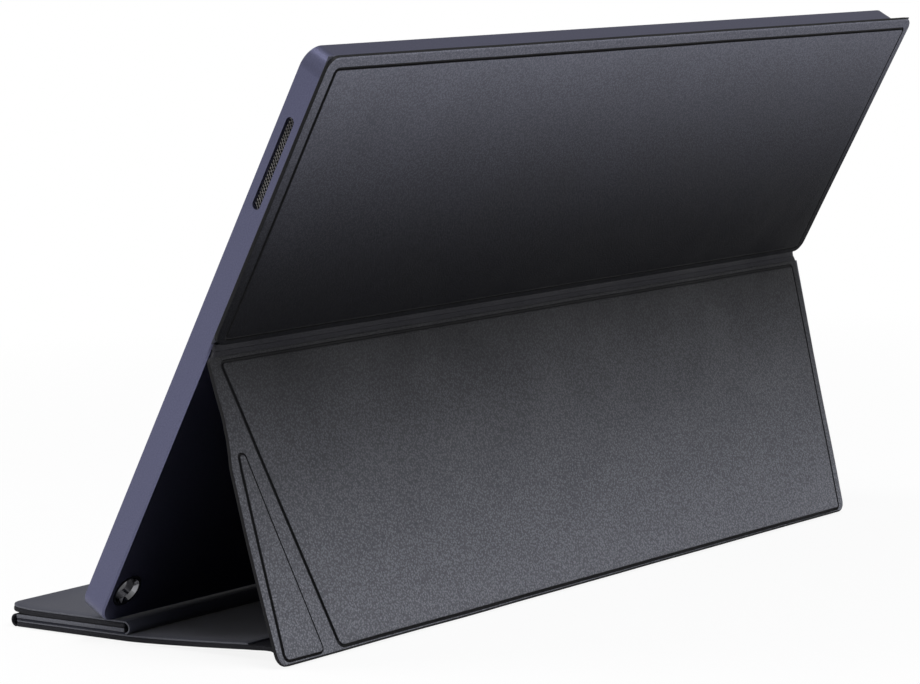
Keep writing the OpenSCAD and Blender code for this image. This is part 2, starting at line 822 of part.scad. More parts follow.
rear_housing();
front_glass();
lcd_panel();
light_guide();
back_tray();
display_strip();
main_board();
port_board();
button_board();
display_cable();
button_cable();
bezel_frame();
pen_ring();
speaker_left();
speaker_right();
speaker_mesh_left();
speaker_mesh_right();
usb_port_upper();
usb_port_lower();
video_port();
audio_jack();
status_light();
power_button();
plus_key();
minus_key();
cover_leather();
cover_board();
cover_lining();
cover_magnets();
upper_fold();
leg_leather();
leg_board();
corner_board();
leg_lining();
foot_fold();
mat_leather();
mat_board();
mat_lining();
spine_strip();
middle_leather();
middle_board();
middle_lining();
front_fold();
flap_leather();
flap_board();
flap_lining();
rear_fold();
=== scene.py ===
# %% [markdown]
# A thin monitor stands in its own folding cover. This lesson dresses its exact solids: the metal
# and plastic pieces keep their solids and get finishes, and every soft piece of leather or lining
# is modelled again, because soft pieces have rounded edges, pressed grooves and a slight wave.

# %% The frame
import json
import math

import bmesh
import bpy
from mathutils import Matrix, Vector, noise


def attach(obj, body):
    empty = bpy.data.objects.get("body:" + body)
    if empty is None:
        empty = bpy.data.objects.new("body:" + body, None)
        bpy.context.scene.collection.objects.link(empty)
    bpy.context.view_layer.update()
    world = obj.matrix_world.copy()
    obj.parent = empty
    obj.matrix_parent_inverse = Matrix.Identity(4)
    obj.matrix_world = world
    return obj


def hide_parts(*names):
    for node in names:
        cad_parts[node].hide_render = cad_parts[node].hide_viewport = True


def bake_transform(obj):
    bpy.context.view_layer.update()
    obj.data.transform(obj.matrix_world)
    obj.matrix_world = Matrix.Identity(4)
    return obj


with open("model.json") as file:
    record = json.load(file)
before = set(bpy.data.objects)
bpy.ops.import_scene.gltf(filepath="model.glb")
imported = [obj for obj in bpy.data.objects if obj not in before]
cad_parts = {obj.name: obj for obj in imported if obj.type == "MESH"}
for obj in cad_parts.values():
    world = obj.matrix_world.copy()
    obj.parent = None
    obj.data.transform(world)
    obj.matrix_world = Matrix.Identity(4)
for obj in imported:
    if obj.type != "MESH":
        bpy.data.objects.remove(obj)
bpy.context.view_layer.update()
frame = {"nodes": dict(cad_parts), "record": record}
mm = 0.001
wave_seed = 1795607296
noise.seed_set(wave_seed)  # otherwise the clock seeds the noise, and each run has other waves

# %% [markdown]
# The camera comes first, because every later step is seen through it. A long lens keeps the
# edges of the object nearly parallel. Its place comes from the straight edges of the monitor and
# of the leg, and the small roll levels the picture as the photograph has it.

# %% Camera
eye = Vector((1.00382, 0.82040, 0.23424))
aim = Vector((0.000194, 0.024090, 0.086634))
roll = math.radians(-1.936)
forward = (aim - eye).normalized()
level = forward.cross(Vector((0, 0, 1))).normalized()
upward = level.cross(forward)
cam_x = math.cos(roll) * level + math.sin(roll) * upward
cam_y = -math.sin(roll) * level + math.cos(roll) * upward

lens = bpy.data.cameras.new("viewer")
lens.lens = 131.3
lens.sensor_width = 36
lens.shift_x = -0.00255
lens.shift_y = 0.0034
lens.clip_start = 0.05
camera = bpy.data.objects.new("viewer", lens)
bpy.context.scene.collection.objects.link(camera)
turn = Matrix((cam_x, cam_y, -forward)).transposed()
camera.matrix_world = Matrix.Translation(eye) @ turn.to_4x4()
bpy.context.scene.camera = camera
print("camera stands", round((aim - eye).length, 3), "m from the object")

# %% [markdown]
# Operators act on whatever is selected, and the loaded solids start out selected. So each piece
# begins with a clean selection, and inside edit mode its faces, edges or corners are picked in
# code, by a test on their middle. These few helpers keep the modelling steps short.

# %% Helpers for selecting
def only(piece):
    bpy.ops.object.select_all(action="DESELECT")
    piece.select_set(True)
    bpy.context.view_layer.objects.active = piece


def select_nothing():
    """Before a new shape is added: a solid that is always there is active, and none selected."""
    only(frame["nodes"]["rear_housing"])
    bpy.ops.object.select_all(action="DESELECT")


def edit(piece):
    only(piece)
    bpy.ops.object.mode_set(mode="EDIT")


def leave():
    bpy.ops.object.mode_set(mode="OBJECT")


def pick(kind, test):
    """In edit mode, selects the corners, edges or faces that pass the test."""
    bpy.ops.mesh.select_mode(type=kind)
    bpy.ops.mesh.select_all(action="DESELECT")
    shape = bmesh.from_edit_mesh(bpy.context.object.data)
    elements = {"VERT": shape.verts, "EDGE": shape.edges, "FACE": shape.faces}[kind]
    for element in [e for e in elements if test(e)]:
        element.select_set(True)
    bmesh.update_edit_mesh(bpy.context.object.data)


def middle(element):
    return sum((v.co for v in element.verts), Vector()) / len(element.verts) / mm


def apply_modifier(piece, kind, **settings):
    only(piece)
    modifier = piece.modifiers.new(kind.lower(), kind)
    for key, value in settings.items():
        setattr(modifier, key, value)
    bpy.ops.object.modifier_apply(modifier=modifier.name)


def outward(piece):
    edit(piece)
    bpy.ops.mesh.select_all(action="SELECT")
    bpy.ops.mesh.normals_make_consistent(inside=False)
    leave()


def smooth(piece, angle=35):
    only(piece)
    bpy.ops.object.shade_smooth_by_angle(angle=math.radians(angle))


def place(piece, matrix):
    """Moves a finished piece to its place, which then lies in its mesh."""
    piece.matrix_world = matrix
    only(piece)
    bpy.ops.object.transform_apply(location=True, rotation=True, scale=True)


def wave(piece, amount, size, seed=0.0):
    """A soft piece is never dead flat: this moves each corner by a slow, smooth noise."""
    for v in piece.data.vertices:
        p = v.co / (size * mm) + Vector((seed, seed * 0.7, -seed))
        v.co += amount * mm * noise.noise_vector(p)


# %% [markdown]
# The upper part of the cover and the leg are drawn standing upright, with the width along X, the
# depth along Y and the height along Z. A finished panel is then turned and lifted into its place,
# which is how the real one is made too: flat on a bench first, and folded afterwards.

# %% Places of the leaning monitor and of the leg
lean = math.radians(30.6)
stack_h = 7.26
fold_rise = 117
crease_half = 0.7
fold_gap = 2.6
clearance = 0.05
foot_crease = Vector((0, 82.6, 2.5))
spine_crease = Vector((0, 83.2, 0.7))

on_monitor = Matrix.Translation((0, 0, stack_h * mm)) @ Matrix.Rotation(-lean, 4, "X")
top_crease = on_monitor @ Vector((0, (crease_half + clearance) * mm, fold_rise * mm)) / mm
down_leg = (foot_crease - top_crease).normalized()
leg_crease = top_crease + fold_gap * down_leg
leg_tilt = math.atan2(down_leg.y, -down_leg.z)
leg_l = (foot_crease - leg_crease).length
on_leg = Matrix.Translation(leg_crease * mm) @ Matrix.Rotation(leg_tilt, 4, "X")
print("leg:", round(leg_l, 1), "mm long, tilted", round(math.degrees(leg_tilt), 1), "degrees")

# %% [markdown]
# Every finish is a material made of nodes. Three effects return in several of them, so each is a
# node group with named inputs: a pebbled grain for leather, a fine even grain for blasted metal
# and moulded plastic, and worn edges, which read how sharply the surface bends; their lighter
# colour is partly rubbed leather and partly a painted highlight.

# %% Helpers for nodes
def new_group(name, inputs, outputs):
    group = bpy.data.node_groups.new(name, "ShaderNodeTree")
    for label, value in inputs:
        socket = group.interface.new_socket(label, in_out="INPUT", socket_type="NodeSocketFloat")
        socket.default_value = value
    for label in outputs:
        group.interface.new_socket(label, in_out="OUTPUT", socket_type="NodeSocketFloat")
    return group, group.nodes.new("NodeGroupInput"), group.nodes.new("NodeGroupOutput")


def add(tree, kind, **values):
    node = tree.nodes.new("ShaderNode" + kind)
    for key, value in values.items():
        if hasattr(node, key):
            setattr(node, key, value)
        else:
            node.inputs[key.replace("_", " ")].default_value = value
    return node


def math_node(tree, operation, a, b=None):
    node = tree.nodes.new("ShaderNodeMath")
    node.operation = operation
    for socket, value in zip(node.inputs, (a, b)):
        if isinstance(value, bpy.types.NodeSocket):
            tree.links.new(value, socket)
        elif value is not None:
            socket.default_value = value
    return node.outputs[0]


def ramp(tree, source, low, high, to_low=0.0, to_high=1.0):
    node = tree.nodes.new("ShaderNodeMapRange")
    tree.links.new(source, node.inputs[0])
    for i, value in enumerate((low, high, to_low, to_high), 1):
        node.inputs[i].default_value = value
    return node.outputs[0]


# %% Node group: pebbled leather grain
grain, g_in, g_out = new_group("pebbled_grain", [("Pebble size", 0.0008)], ["Height", "Cloudy"])
coords = add(grain, "TexCoord")
inverse = math_node(grain, "DIVIDE", 1.0, g_in.outputs["Pebble size"])
warp = add(grain, "TexNoise", Detail=2.0, Roughness=0.6)
grain.links.new(coords.outputs["Object"], warp.inputs["Vector"])
grain.links.new(math_node(grain, "MULTIPLY", inverse, 0.45), warp.inputs["Scale"])
push = add(grain, "VectorMath", operation="MULTIPLY_ADD")
grain.links.new(warp.outputs["Color"], push.inputs[0])
push.inputs[1].default_value = (0.0003, 0.0003, 0.0003)
grain.links.new(coords.outputs["Object"], push.inputs[2])
cells = add(grain, "TexVoronoi", feature="SMOOTH_F1", Smoothness=0.3)
grain.links.new(push.outputs[0], cells.inputs["Vector"])
grain.links.new(inverse, cells.inputs["Scale"])
pebble = ramp(grain, cells.outputs["Distance"], 0.15, 0.62, 1.0, 0.0)
fine = add(grain, "TexNoise", Detail=3.0, Roughness=0.7)
grain.links.new(coords.outputs["Object"], fine.inputs["Vector"])
grain.links.new(math_node(grain, "MULTIPLY", inverse, 2.2), fine.inputs["Scale"])
height = math_node(grain, "ADD", math_node(grain, "MULTIPLY", pebble, 0.65), fine.outputs["Fac"])
grain.links.new(height, g_out.inputs["Height"])
cloudy = add(grain, "TexNoise", Scale=38.0, Detail=4.0, Roughness=0.55)
grain.links.new(coords.outputs["Object"], cloudy.inputs["Vector"])
grain.links.new(cloudy.outputs["Fac"], g_out.inputs["Cloudy"])
print("group:", grain.name)

# %% Node group: fine even grain
even, e_in, e_out = new_group("even_grain", [("Grain size", 0.0004)], ["Height", "Cloudy"])
coords = add(even, "TexCoord")
speck = add(even, "TexNoise", Detail=2.0, Roughness=0.6)
even.links.new(coords.outputs["Object"], speck.inputs["Vector"])
even.links.new(math_node(even, "DIVIDE", 1.0, e_in.outputs["Grain size"]), speck.inputs["Scale"])
even.links.new(speck.outputs["Fac"], e_out.inputs["Height"])
slow = add(even, "TexNoise", Scale=22.0, Detail=3.0)
even.links.new(coords.outputs["Object"], slow.inputs["Vector"])
even.links.new(slow.outputs["Fac"], e_out.inputs["Cloudy"])
print("group:", even.name)

# %% Node group: worn edges, partly a painted highlight
edge_wear_highlight, w_in, w_out = new_group("edge_wear_and_highlight", [("Start", 0.53), ("End", 0.62)], ["Mask"])
bend = add(edge_wear_highlight, "NewGeometry")
edge = edge_wear_highlight.nodes.new("ShaderNodeMapRange")
edge_wear_highlight.links.new(bend.outputs["Pointiness"], edge.inputs[0])
edge_wear_highlight.links.new(w_in.outputs["Start"], edge.inputs[1])
edge_wear_highlight.links.new(w_in.outputs["End"], edge.inputs[2])
coords = add(edge_wear_highlight, "TexCoord")
patch = add(edge_wear_highlight, "TexNoise", Scale=260.0, Detail=3.0)
edge_wear_highlight.links.new(coords.outputs["Object"], patch.inputs["Vector"])
edge_wear_highlight.links.new(
    math_node(edge_wear_highlight, "MULTIPLY", edge.outputs[0], ramp(edge_wear_highlight, patch.outputs["Fac"], 0.35, 0.7)),
    w_out.inputs["Mask"])
print("group:", edge_wear_highlight.name)

# %% [markdown]
# A finish starts from one shader with its own plain values, and the groups vary its colour, its
# roughness and its bump. Colours are given as two tones of the same finish: the pattern slides
# between them, so that no surface is one flat colour.

# %% Helper for finishes
painted_shade_swing = 0.012  # how far, in metres, the clouds push the edge of the painted shade to and fro


def finish(name, dark, light, rough, group, size, bump, metallic=0.0, tone="Cloudy",
           tone_range=(0.3, 0.7), rough_swing=0.08, wear_and_highlight=None, wear_and_highlight_amount=0.5, spec=0.5,
           painted_shade=None, **extra):
    """Painted shade is (axis, from, to, darkest, power): darkest at from and full at to, both in
    mm.
    """
    material = bpy.data.materials.new(name)
    material.use_nodes = True
    tree = material.node_tree
    shader = tree.nodes["Principled BSDF"]
    shader.inputs["Metallic"].default_value = metallic
    shader.inputs["Specular IOR Level"].default_value = spec
    for key, value in extra.items():
        shader.inputs[key.replace("_", " ")].default_value = value
    pattern = tree.nodes.new("ShaderNodeGroup")
    pattern.node_tree = group
    pattern.inputs[0].default_value = size
    colour = add(tree, "Mix", data_type="RGBA")
    colour.inputs[6].default_value = (*dark, 1)
    colour.inputs[7].default_value = (*light, 1)
    tree.links.new(ramp(tree, pattern.outputs[tone], *tone_range), colour.inputs[0])
    shown = colour.outputs[2]
    # Lighter edges: partly rubbed leather, partly a painted highlight on the convex rims.
    if wear_and_highlight:
        edges = tree.nodes.new("ShaderNodeGroup")
        edges.node_tree = edge_wear_highlight
        rubbed_and_highlit = add(tree, "Mix", data_type="RGBA")
        rub_and_highlight = math_node(tree, "MULTIPLY", edges.outputs["Mask"], wear_and_highlight_amount)
        tree.links.new(rub_and_highlight, rubbed_and_highlit.inputs[0])
        tree.links.new(shown, rubbed_and_highlit.inputs[6])
        rubbed_and_highlit.inputs[7].default_value = (*wear_and_highlight, 1)
        shown = rubbed_and_highlit.outputs[2]
    # Painted shade: the colour is scaled darker along one axis, standing in for shade.
    if painted_shade:
        axis, start, end, darkest, power = painted_shade
        where = add(tree, "TexCoord")
        parts = add(tree, "SeparateXYZ")
        tree.links.new(where.outputs["Object"], parts.inputs[0])
        patchy = math_node(tree, "MULTIPLY_ADD", pattern.outputs["Cloudy"], painted_shade_swing)
        tree.links.new(parts.outputs[axis], patchy.node.inputs[2])
        shift = painted_shade_swing / 2
        along = ramp(tree, patchy, start * mm + shift, end * mm + shift)
        share = ramp(tree, math_node(tree, "POWER", along, power), 0.0, 1.0, darkest, 1.0)
        shade_scaled = add(tree, "VectorMath", operation="SCALE")
        tree.links.new(shown, shade_scaled.inputs[0])
        tree.links.new(share, shade_scaled.inputs["Scale"])
        shown = shade_scaled.outputs[0]
    tree.links.new(shown, shader.inputs["Base Color"])
    tree.links.new(
        ramp(tree, pattern.outputs["Cloudy"], 0.3, 0.7, rough - rough_swing, rough + rough_swing),
        shader.inputs["Roughness"])
    relief = add(tree, "Bump", Strength=1.0, Distance=bump)
    tree.links.new(pattern.outputs["Height"], relief.inputs["Height"])
    tree.links.new(relief.outputs["Normal"], shader.inputs["Normal"])
    material.diffuse_color = (*light, 1)
    return material


# %% Finishes of the cover
pebble_tones = (0.15, 1.35)
dark_tones = (0.3, 1.3)
leather = finish("pebbled_leather", (0.030, 0.031, 0.038), (0.105, 0.108, 0.128), 0.5, grain,
                 0.0008, 0.00016, tone="Height", tone_range=pebble_tones, spec=0.3)
# Lit copies of the leather for the two panels, each with painted shade towards the hinge.
upper_leather = finish("upper_leather", (0.085, 0.087, 0.108), (0.215, 0.220, 0.268), 0.62, grain,
                       0.0007, 0.00014, tone="Height", tone_range=pebble_tones, spec=0.04,
                       painted_shade=("Z", 106, 198, 0.06, 2.3), wear_and_highlight=(0.20, 0.205, 0.235), wear_and_highlight_amount=0.35)
leg_leather = finish("leg_leather", (0.038, 0.039, 0.048), (0.245, 0.252, 0.290), 0.55, grain,
                     0.0008, 0.0002, tone="Height", tone_range=pebble_tones, spec=0.2,
                     painted_shade=("Z", 104, 8, 0.11, 1.05), wear_and_highlight=(0.24, 0.245, 0.275), wear_and_highlight_amount=0.35)
# A shaded copy of the leather, near black: painted shade for the folds and the mat layers.
shaded_leather = finish("shaded_leather", (0.009, 0.009, 0.012), (0.020, 0.020, 0.026), 0.6, grain,
                      0.0007, 0.00008, tone="Height", tone_range=dark_tones, spec=0.18)
# Darker still: painted shade for the grooves, the side faces and the sole of the panels.
deep_shade_leather = finish("deep_shade_leather", (0.003, 0.003, 0.004), (0.008, 0.008, 0.010), 0.6, grain,
                      0.0007, 0.00004, tone="Height", tone_range=dark_tones, spec=0.2)
lining = finish("brushed_lining", (0.044, 0.046, 0.064), (0.064, 0.067, 0.088), 0.85, even, 0.0003,
                0.00006, rough_swing=0.05, spec=0.2, Sheen_Weight=0.25, Sheen_Roughness=0.4)
shaded_lining = finish("shaded_lining", (0.020, 0.021, 0.032), (0.032, 0.034, 0.048), 0.8, even,
                       0.0003, 0.00006, rough_swing=0.05, spec=0.15, Sheen_Weight=0.1,
                       Sheen_Roughness=0.4)
cut_edge = finish("cut_edge", (0.09, 0.092, 0.11), (0.17, 0.175, 0.20), 0.8, even, 0.0004, 0.0001,
                  tone="Height", spec=0.2)
fibreboard = finish("fibreboard", (0.24, 0.2, 0.15), (0.36, 0.31, 0.24), 0.8, even, 0.0006, 0.00008)
print("cover finishes:", leather.name, shaded_leather.name, lining.name, fibreboard.name)

# %% Finishes of the monitor
housing_metal = finish("anodised_metal", (0.108, 0.111, 0.180), (0.136, 0.139, 0.222), 0.40, even,
                       0.0005, 0.000005, metallic=1.0, tone="Height", rough_swing=0.012)
# The pen ring's polished metal is dimmed for the dark cover its mirror shows: painted shade.
dimmed_chrome = finish("shade_dimmed_chrome", (0.20, 0.20, 0.21), (0.30, 0.30, 0.32), 0.09, even, 0.0005,
                0.000002, metallic=1.0, rough_swing=0.03)
black_glass = finish("black_glass", (0.004, 0.004, 0.005), (0.007, 0.007, 0.009), 0.06, even,
                     0.002, 0.000001, rough_swing=0.02, Coat_Weight=0.3)
matt_plastic = finish("matt_plastic", (0.014, 0.014, 0.016), (0.026, 0.026, 0.029), 0.55, even,
                      0.0003, 0.00003)
steel = finish("satin_steel", (0.45, 0.46, 0.47), (0.6, 0.61, 0.62), 0.32, even, 0.0004, 0.00001,
               metallic=1.0)
wire = finish("woven_wire", (0.34, 0.33, 0.32), (0.52, 0.50, 0.48), 0.45, even, 0.0004, 0.00002,
              metallic=0.8)
board_green = finish("circuit_green", (0.012, 0.07, 0.035), (0.02, 0.12, 0.06), 0.35, even,
                     0.0015, 0.00002)
amber_film = finish("amber_film", (0.36, 0.16, 0.03), (0.5, 0.25, 0.06), 0.3, even, 0.001, 0.00001)
milky = finish("milky_plastic", (0.7, 0.72, 0.74), (0.82, 0.84, 0.86), 0.3, even, 0.0006, 0.00001)
dark_panel = finish("dark_panel", (0.008, 0.008, 0.011), (0.014, 0.014, 0.018), 0.25, even,
                    0.0004, 0.00001)
print("monitor finishes ready")

# %% [markdown]
# The stiff pieces keep their solids, so each only needs its finish. The record says which kind of
# material each solid is made of, and this table turns the kinds into the finishes above.

# %% Finishes on the solids
finish_of = {
    "housing": housing_metal, "cover_glass": black_glass, "picture_panel": dark_panel,
    "light_guide": milky, "steel_tray": steel, "circuit_board": board_green,
    "flat_cable": amber_film, "black_plastic": matt_plastic, "chrome_ring": dimmed_chrome,
    "woven_mesh": wire, "port_steel": steel, "light_pipe": milky, "leather": leather,
    "stiff_board": fibreboard, "lining": lining, "magnet": steel,
}
kind_of = {row["node"]: row["material_slot"] for row in frame["record"]["subparts"]}
for node, solid in frame["nodes"].items():
    solid.data.materials.clear()
    solid.data.materials.append(finish_of[kind_of[node]])
print(len(frame["nodes"]), "solids have a finish")

# %% [markdown]
# A pressed panel is a leather sheet over one or two stiff boards. The outline starts as a flat
# face with one corner for each corner of the sheet. Its corners are rounded, it is pulled to its
# thickness, and its rim is rounded by small insets. The boards are added as faces of their own,
# the hem is filled in between, and each board is pressed in for its groove and raised again.

# %% Helper for pressed panels
rim_h = 0.7
rim_steps = [(0.08, 0.3), (0.22, 0.25), (0.4, 0.15)]
seam = 0.18
groove_wall = [(0.14, -0.22), (0.12, -0.23)]
pad_wall = [(0.10, 0.35), (0.12, 0.3)]
board_middle = 15  # how near to a board's middle the middle of its own face lies


def flat_face(name, corners, depth):
    """Adds a face at this depth, with one corner for each (x, rise, rounding)."""
    bpy.ops.mesh.primitive_circle_add(vertices=len(corners), fill_type="NGON")
    if name:
        bpy.context.object.name = name
        bpy.context.object.data.name = name
        bpy.ops.object.mode_set(mode="EDIT")
    shape = bmesh.from_edit_mesh(bpy.context.object.data)
    for vertex, (x, rise, rounding) in zip([v for v in shape.verts if v.select], corners):
        vertex.co = Vector((x, depth, rise)) * mm
    bmesh.update_edit_mesh(bpy.context.object.data)
    for rounding in sorted({c[2] for c in corners if c[2]}):
        spots = [Vector((x, depth, rise)) * mm for x, rise, own in corners if own == rounding]
        pick("VERT", lambda v: any((v.co - spot).length < 1e-6 for spot in spots))
        bpy.ops.mesh.bevel(offset=rounding * mm, segments=6, affect="VERTICES",
                           offset_type="OFFSET")


def steps(profile):
    """Insets the selected faces by each (inwards, out) of the profile in turn."""
    for inwards, out in profile:
        bpy.ops.mesh.inset(thickness=inwards * mm, depth=out * mm)


def cut_in_squares(piece, across, up):
    """Cuts a panel every so many millimetres, so that it has corners enough to be bent softly."""
    low = [min(v.co[i] for v in piece.data.vertices) / mm for i in range(3)]
    high = [max(v.co[i] for v in piece.data.vertices) / mm for i in range(3)]
    edit(piece)
    for axis, gap in ((0, across), (2, up)):
        way = [0, 0, 0]
        way[axis] = 1
        count = int((high[axis] - low[axis]) / gap)
        for i in range(1, count + 1):
            spot = [0, 0, 0]
            spot[axis] = (low[axis] + (high[axis] - low[axis]) * i / (count + 1) + 0.013) * mm
            bpy.ops.mesh.select_all(action="SELECT")
            bpy.ops.mesh.bisect(plane_co=spot, plane_no=way)
    leave()


def finish_faces(panel, slot):
    """Gives the selected faces one of the panel's two finishes; faces inset from them keep it."""
    for face in bmesh.from_edit_mesh(panel.data).faces:
        if face.select:
            face.material_index = slot


def pressed_panel(name, corners, boards, back, front, finishes):
    """Each board is (corners, groove width, slide, crown). It is slid before it is raised."""
    def at_front(element):
        return abs(middle(element).y - front) < 0.01

    bpy.ops.object.select_all(action="DESELECT")
    flat_face(name, corners, back)
    panel = bpy.context.object
    for one in finishes:
        panel.data.materials.append(one)
    bpy.ops.mesh.select_all(action="SELECT")
    rise = (0, (front - back - rim_h) * mm, 0)
    bpy.ops.mesh.extrude_region_move(TRANSFORM_OT_translate={"value": rise})
    pick("FACE", lambda f: middle(f).y > back + 0.1 and len(f.verts) > 4)
    bpy.ops.mesh.normals_make_consistent(inside=False)
    steps(rim_steps)
    bpy.ops.mesh.delete(type="ONLY_FACE")
    for board, groove, slide, crown in boards:
        flat_face(None, board, front)
    pick("EDGE", lambda e: at_front(e) and len(e.link_faces) == 1)
    bpy.ops.mesh.fill(use_beauty=True)
    pick("FACE", lambda f: len(f.verts) == 3 and at_front(f))
    bpy.ops.mesh.inset(thickness=seam * mm, depth=0)
    for board, groove, slide, crown in boards:
        board_x = sum(c[0] for c in board) / len(board)
        pick("FACE", lambda f: len(f.verts) > 8 and at_front(f)
             and abs(middle(f).x - board_x) < board_middle)
        shape = bmesh.from_edit_mesh(panel.data)
        for face in shape.faces:
            if face.select and face.normal.y < 0:
                face.normal_flip()
        bmesh.update_edit_mesh(panel.data)
        # The groove takes slot 1, a painted shade.
        finish_faces(panel, 1)
        steps([*groove_wall, (groove, 0.0)])
        bpy.ops.transform.translate(value=(slide * mm, 0, 0))
        steps(pad_wall)
        finish_faces(panel, 0)
        steps(crown)
    leave()
    outward(panel)
    edit(panel)
    # The side faces take slot 1 too: a painted shade.
    pick("FACE", lambda f: abs(f.normal.y) < 0.35)
    finish_faces(panel, 1)
    leave()
    print(name, len(panel.data.polygons), "faces")
    return panel


def dent(piece, spot, radius, shift):
    """Pushes the leather round one spot by a soft, round amount."""
    for v in piece.data.vertices:
        far = (Vector((v.co.x, v.co.z)) / mm - Vector(spot)).length / radius
        if far < 2.5:
            v.co += Vector(shift) * mm * math.exp(-far * far * 2)


# %% [markdown]
# The upper panel lies on the back of the monitor. It reaches a little past the sides and the top,
# its corners are round, and one large board fills it up to a narrow hem.

# %% Upper panel
cover_half = 181.5
cover_top = 229.5
cover_low = fold_rise + 1.0
hem = 3.6
board_half = cover_half - hem
large_crown = [(0.25, 0.12), (0.4, 0.06)]
upper_panel = pressed_panel(
    "upper_panel",
    [(-cover_half, cover_low, 5), (cover_half, cover_low, 5), (cover_half, cover_top, 4.5),
     (-cover_half, cover_top, 4.5)],
    [([(-board_half, cover_low + 2, 2.2), (board_half, cover_low + 2, 2.2),
       (board_half, cover_top - hem, 2.2), (-board_half, cover_top - hem, 2.2)],
      0.7, 0.0, large_crown)],
    0.5, 2.2, [upper_leather, deep_shade_leather])
cut_in_squares(upper_panel, 15, 9)
wave(upper_panel, 0.12, 30, 3.0)
place(upper_panel, on_monitor)
smooth(upper_panel)
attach(upper_panel, "screen")
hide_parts("cover_leather")

# %% [markdown]
# The leg has two boards. A slanting gap without a board lets its near corner fold, so the small
# board is a long wedge with a round tip. Just above that tip the near edge is pinched in, and small
# dents beside it show how the leather gives way there. The sole gets the painted shade of the
# grooves, for the shade where it curves under.

# %% Leg panel
leg_low = -leg_l + 1.0
sole = -leg_l - 2.6
leg_panel = pressed_panel(
    "leg_panel",
    [(-176.6, sole + 0.2, 4), (179.8, sole, 4.5), (182.4, -75, 20), (183.9, -36, 2.5),
     (181.3, -26, 3), (183.2, -18, 5), (184.6, -0.6, 3), (-177.8, -0.6, 1.2)],
    [([(-172.9, sole + 1.1, 2.2), (149.1, sole + 1.1, 3), (180.6, -2.2, 3), (-174.3, -2.2, 2)],
      0.75, 0.0, large_crown),
     ([(156.4, sole + 1.1, 3), (177.8, sole + 1.2, 3), (180.8, -33.8, 1.8), (176.5, -33.8, 1.8)],
      0.5, -0.22, [(0.15, 0.1), (0.1, 0.02)])],
    -0.2, 1.5, [leg_leather, deep_shade_leather])
edit(leg_panel)
# The sole takes slot 1 as well: a painted shade where it curves under.
pick("FACE", lambda f: middle(f).z < sole + 0.75)
finish_faces(leg_panel, 1)
leave()
cut_in_squares(leg_panel, 12, 5)
wave(leg_panel, 0.16, 34, 11.0)
dent(leg_panel, (182, -26), 6, (0, -0.9, 0))
dent(leg_panel, (182, -35), 4, (0, 0.35, 0))
dent(leg_panel, (168, -18), 16, (0, 0.2, 0))
place(leg_panel, on_leg)
smooth(leg_panel)
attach(leg_panel, "leg")
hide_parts("leg_leather")

# %% [markdown]
# Linings, folds and the layers of the mat are bent sheets. Each starts as a grid, whose rows are
# laid along a path in the side view. A thickness is added to both sides, and the rim is rounded.

# %% Helper for bent sheets
def bent_sheet(name, path, half, thickness, rim=0.25, columns=60, half_right=None, taper=None):
    """path is a list of (y, z) points, half the half width towards +X, and half_right the one
    towards -X. taper(row) is taken off the first at a row of the path, and half of it off the
    second."""
    select_nothing()
    rows = len(path) - 1
    bpy.ops.mesh.primitive_grid_add(x_subdivisions=columns, y_subdivisions=rows, size=2)
    sheet = bpy.context.object
    sheet.name = name
    sheet.data.name = name
    left = -(half if half_right is None else half_right)
    for v in sheet.data.vertices:
        row = round((v.co.y + 1) / 2 * rows)
        less = taper(row) if taper else 0
        x = left + 0.5 * less + (v.co.x + 1) / 2 * (half - left - 1.5 * less)
        v.co = Vector((x, *path[row])) * mm
    apply_modifier(sheet, "SOLIDIFY", thickness=thickness * mm, offset=0, use_even_offset=True)
    if rim:
        apply_modifier(sheet, "BEVEL", width=rim * mm, segments=2, limit_method="ANGLE",
                       angle_limit=math.radians(60))
    outward(sheet)
    return sheet


def line(a, b, n):
    return [(a[0] + (b[0] - a[0]) * i / n, a[1] + (b[1] - a[1]) * i / n) for i in range(n + 1)]


def arc(centre, radius, start, end, n):
    return [(centre[0] + radius * math.cos(math.radians(start + (end - start) * i / n)),
             centre[1] + radius * math.sin(math.radians(start + (end - start) * i / n)))
            for i in range(n + 1)]


def dress(sheet, material, bodies, nodes, amount=0.1, size=25, seed=0.0,
          cut=None):
    """cut is the finish of the sheet's raw sides, where its layers show."""
    wave(sheet, amount, size, seed)
    smooth(sheet)
    sheet.data.materials.append(material)
    if cut:
        sheet.data.materials.append(cut)
        for face in sheet.data.polygons:
            face.material_index = int(abs(face.normal.x) > 0.6)
    if len(bodies) == 1:
        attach(sheet, bodies[0])
    else:
        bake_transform(sheet)
    if nodes:
        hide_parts(*nodes)
    print(sheet.name, len(sheet.data.polygons), "faces")


# %% Linings of the upper panel and of the leg
lining_thick, lining_rim = 0.48, 0.15
cover_lining = bent_sheet(
    "upper_lining", line((0.25, cover_low), (0.25, cover_top - 0.3), 12), cover_half - 0.4,
    lining_thick, lining_rim)
place(cover_lining, on_monitor)
dress(cover_lining, lining, ["screen"], ["cover_lining"], amount=0.0)
leg_lining = bent_sheet(
    "leg_inner_lining", line((-0.45, leg_low), (-0.45, -1), 12), 177.6, lining_thick, lining_rim)
for v in leg_lining.data.vertices:
    v.co.x *= 1 + 0.018 * (1 + v.co.z / mm / leg_l)
place(leg_lining, on_leg)
dress(leg_lining, lining, ["leg"], ["leg_lining"], amount=0.05)

# %% [markdown]
# The upper fold is a soft strip between the two panels. It crosses two crease lines, so it is
# modelled as two short sheets that meet in the middle: one bends at the monitor, one at the leg.

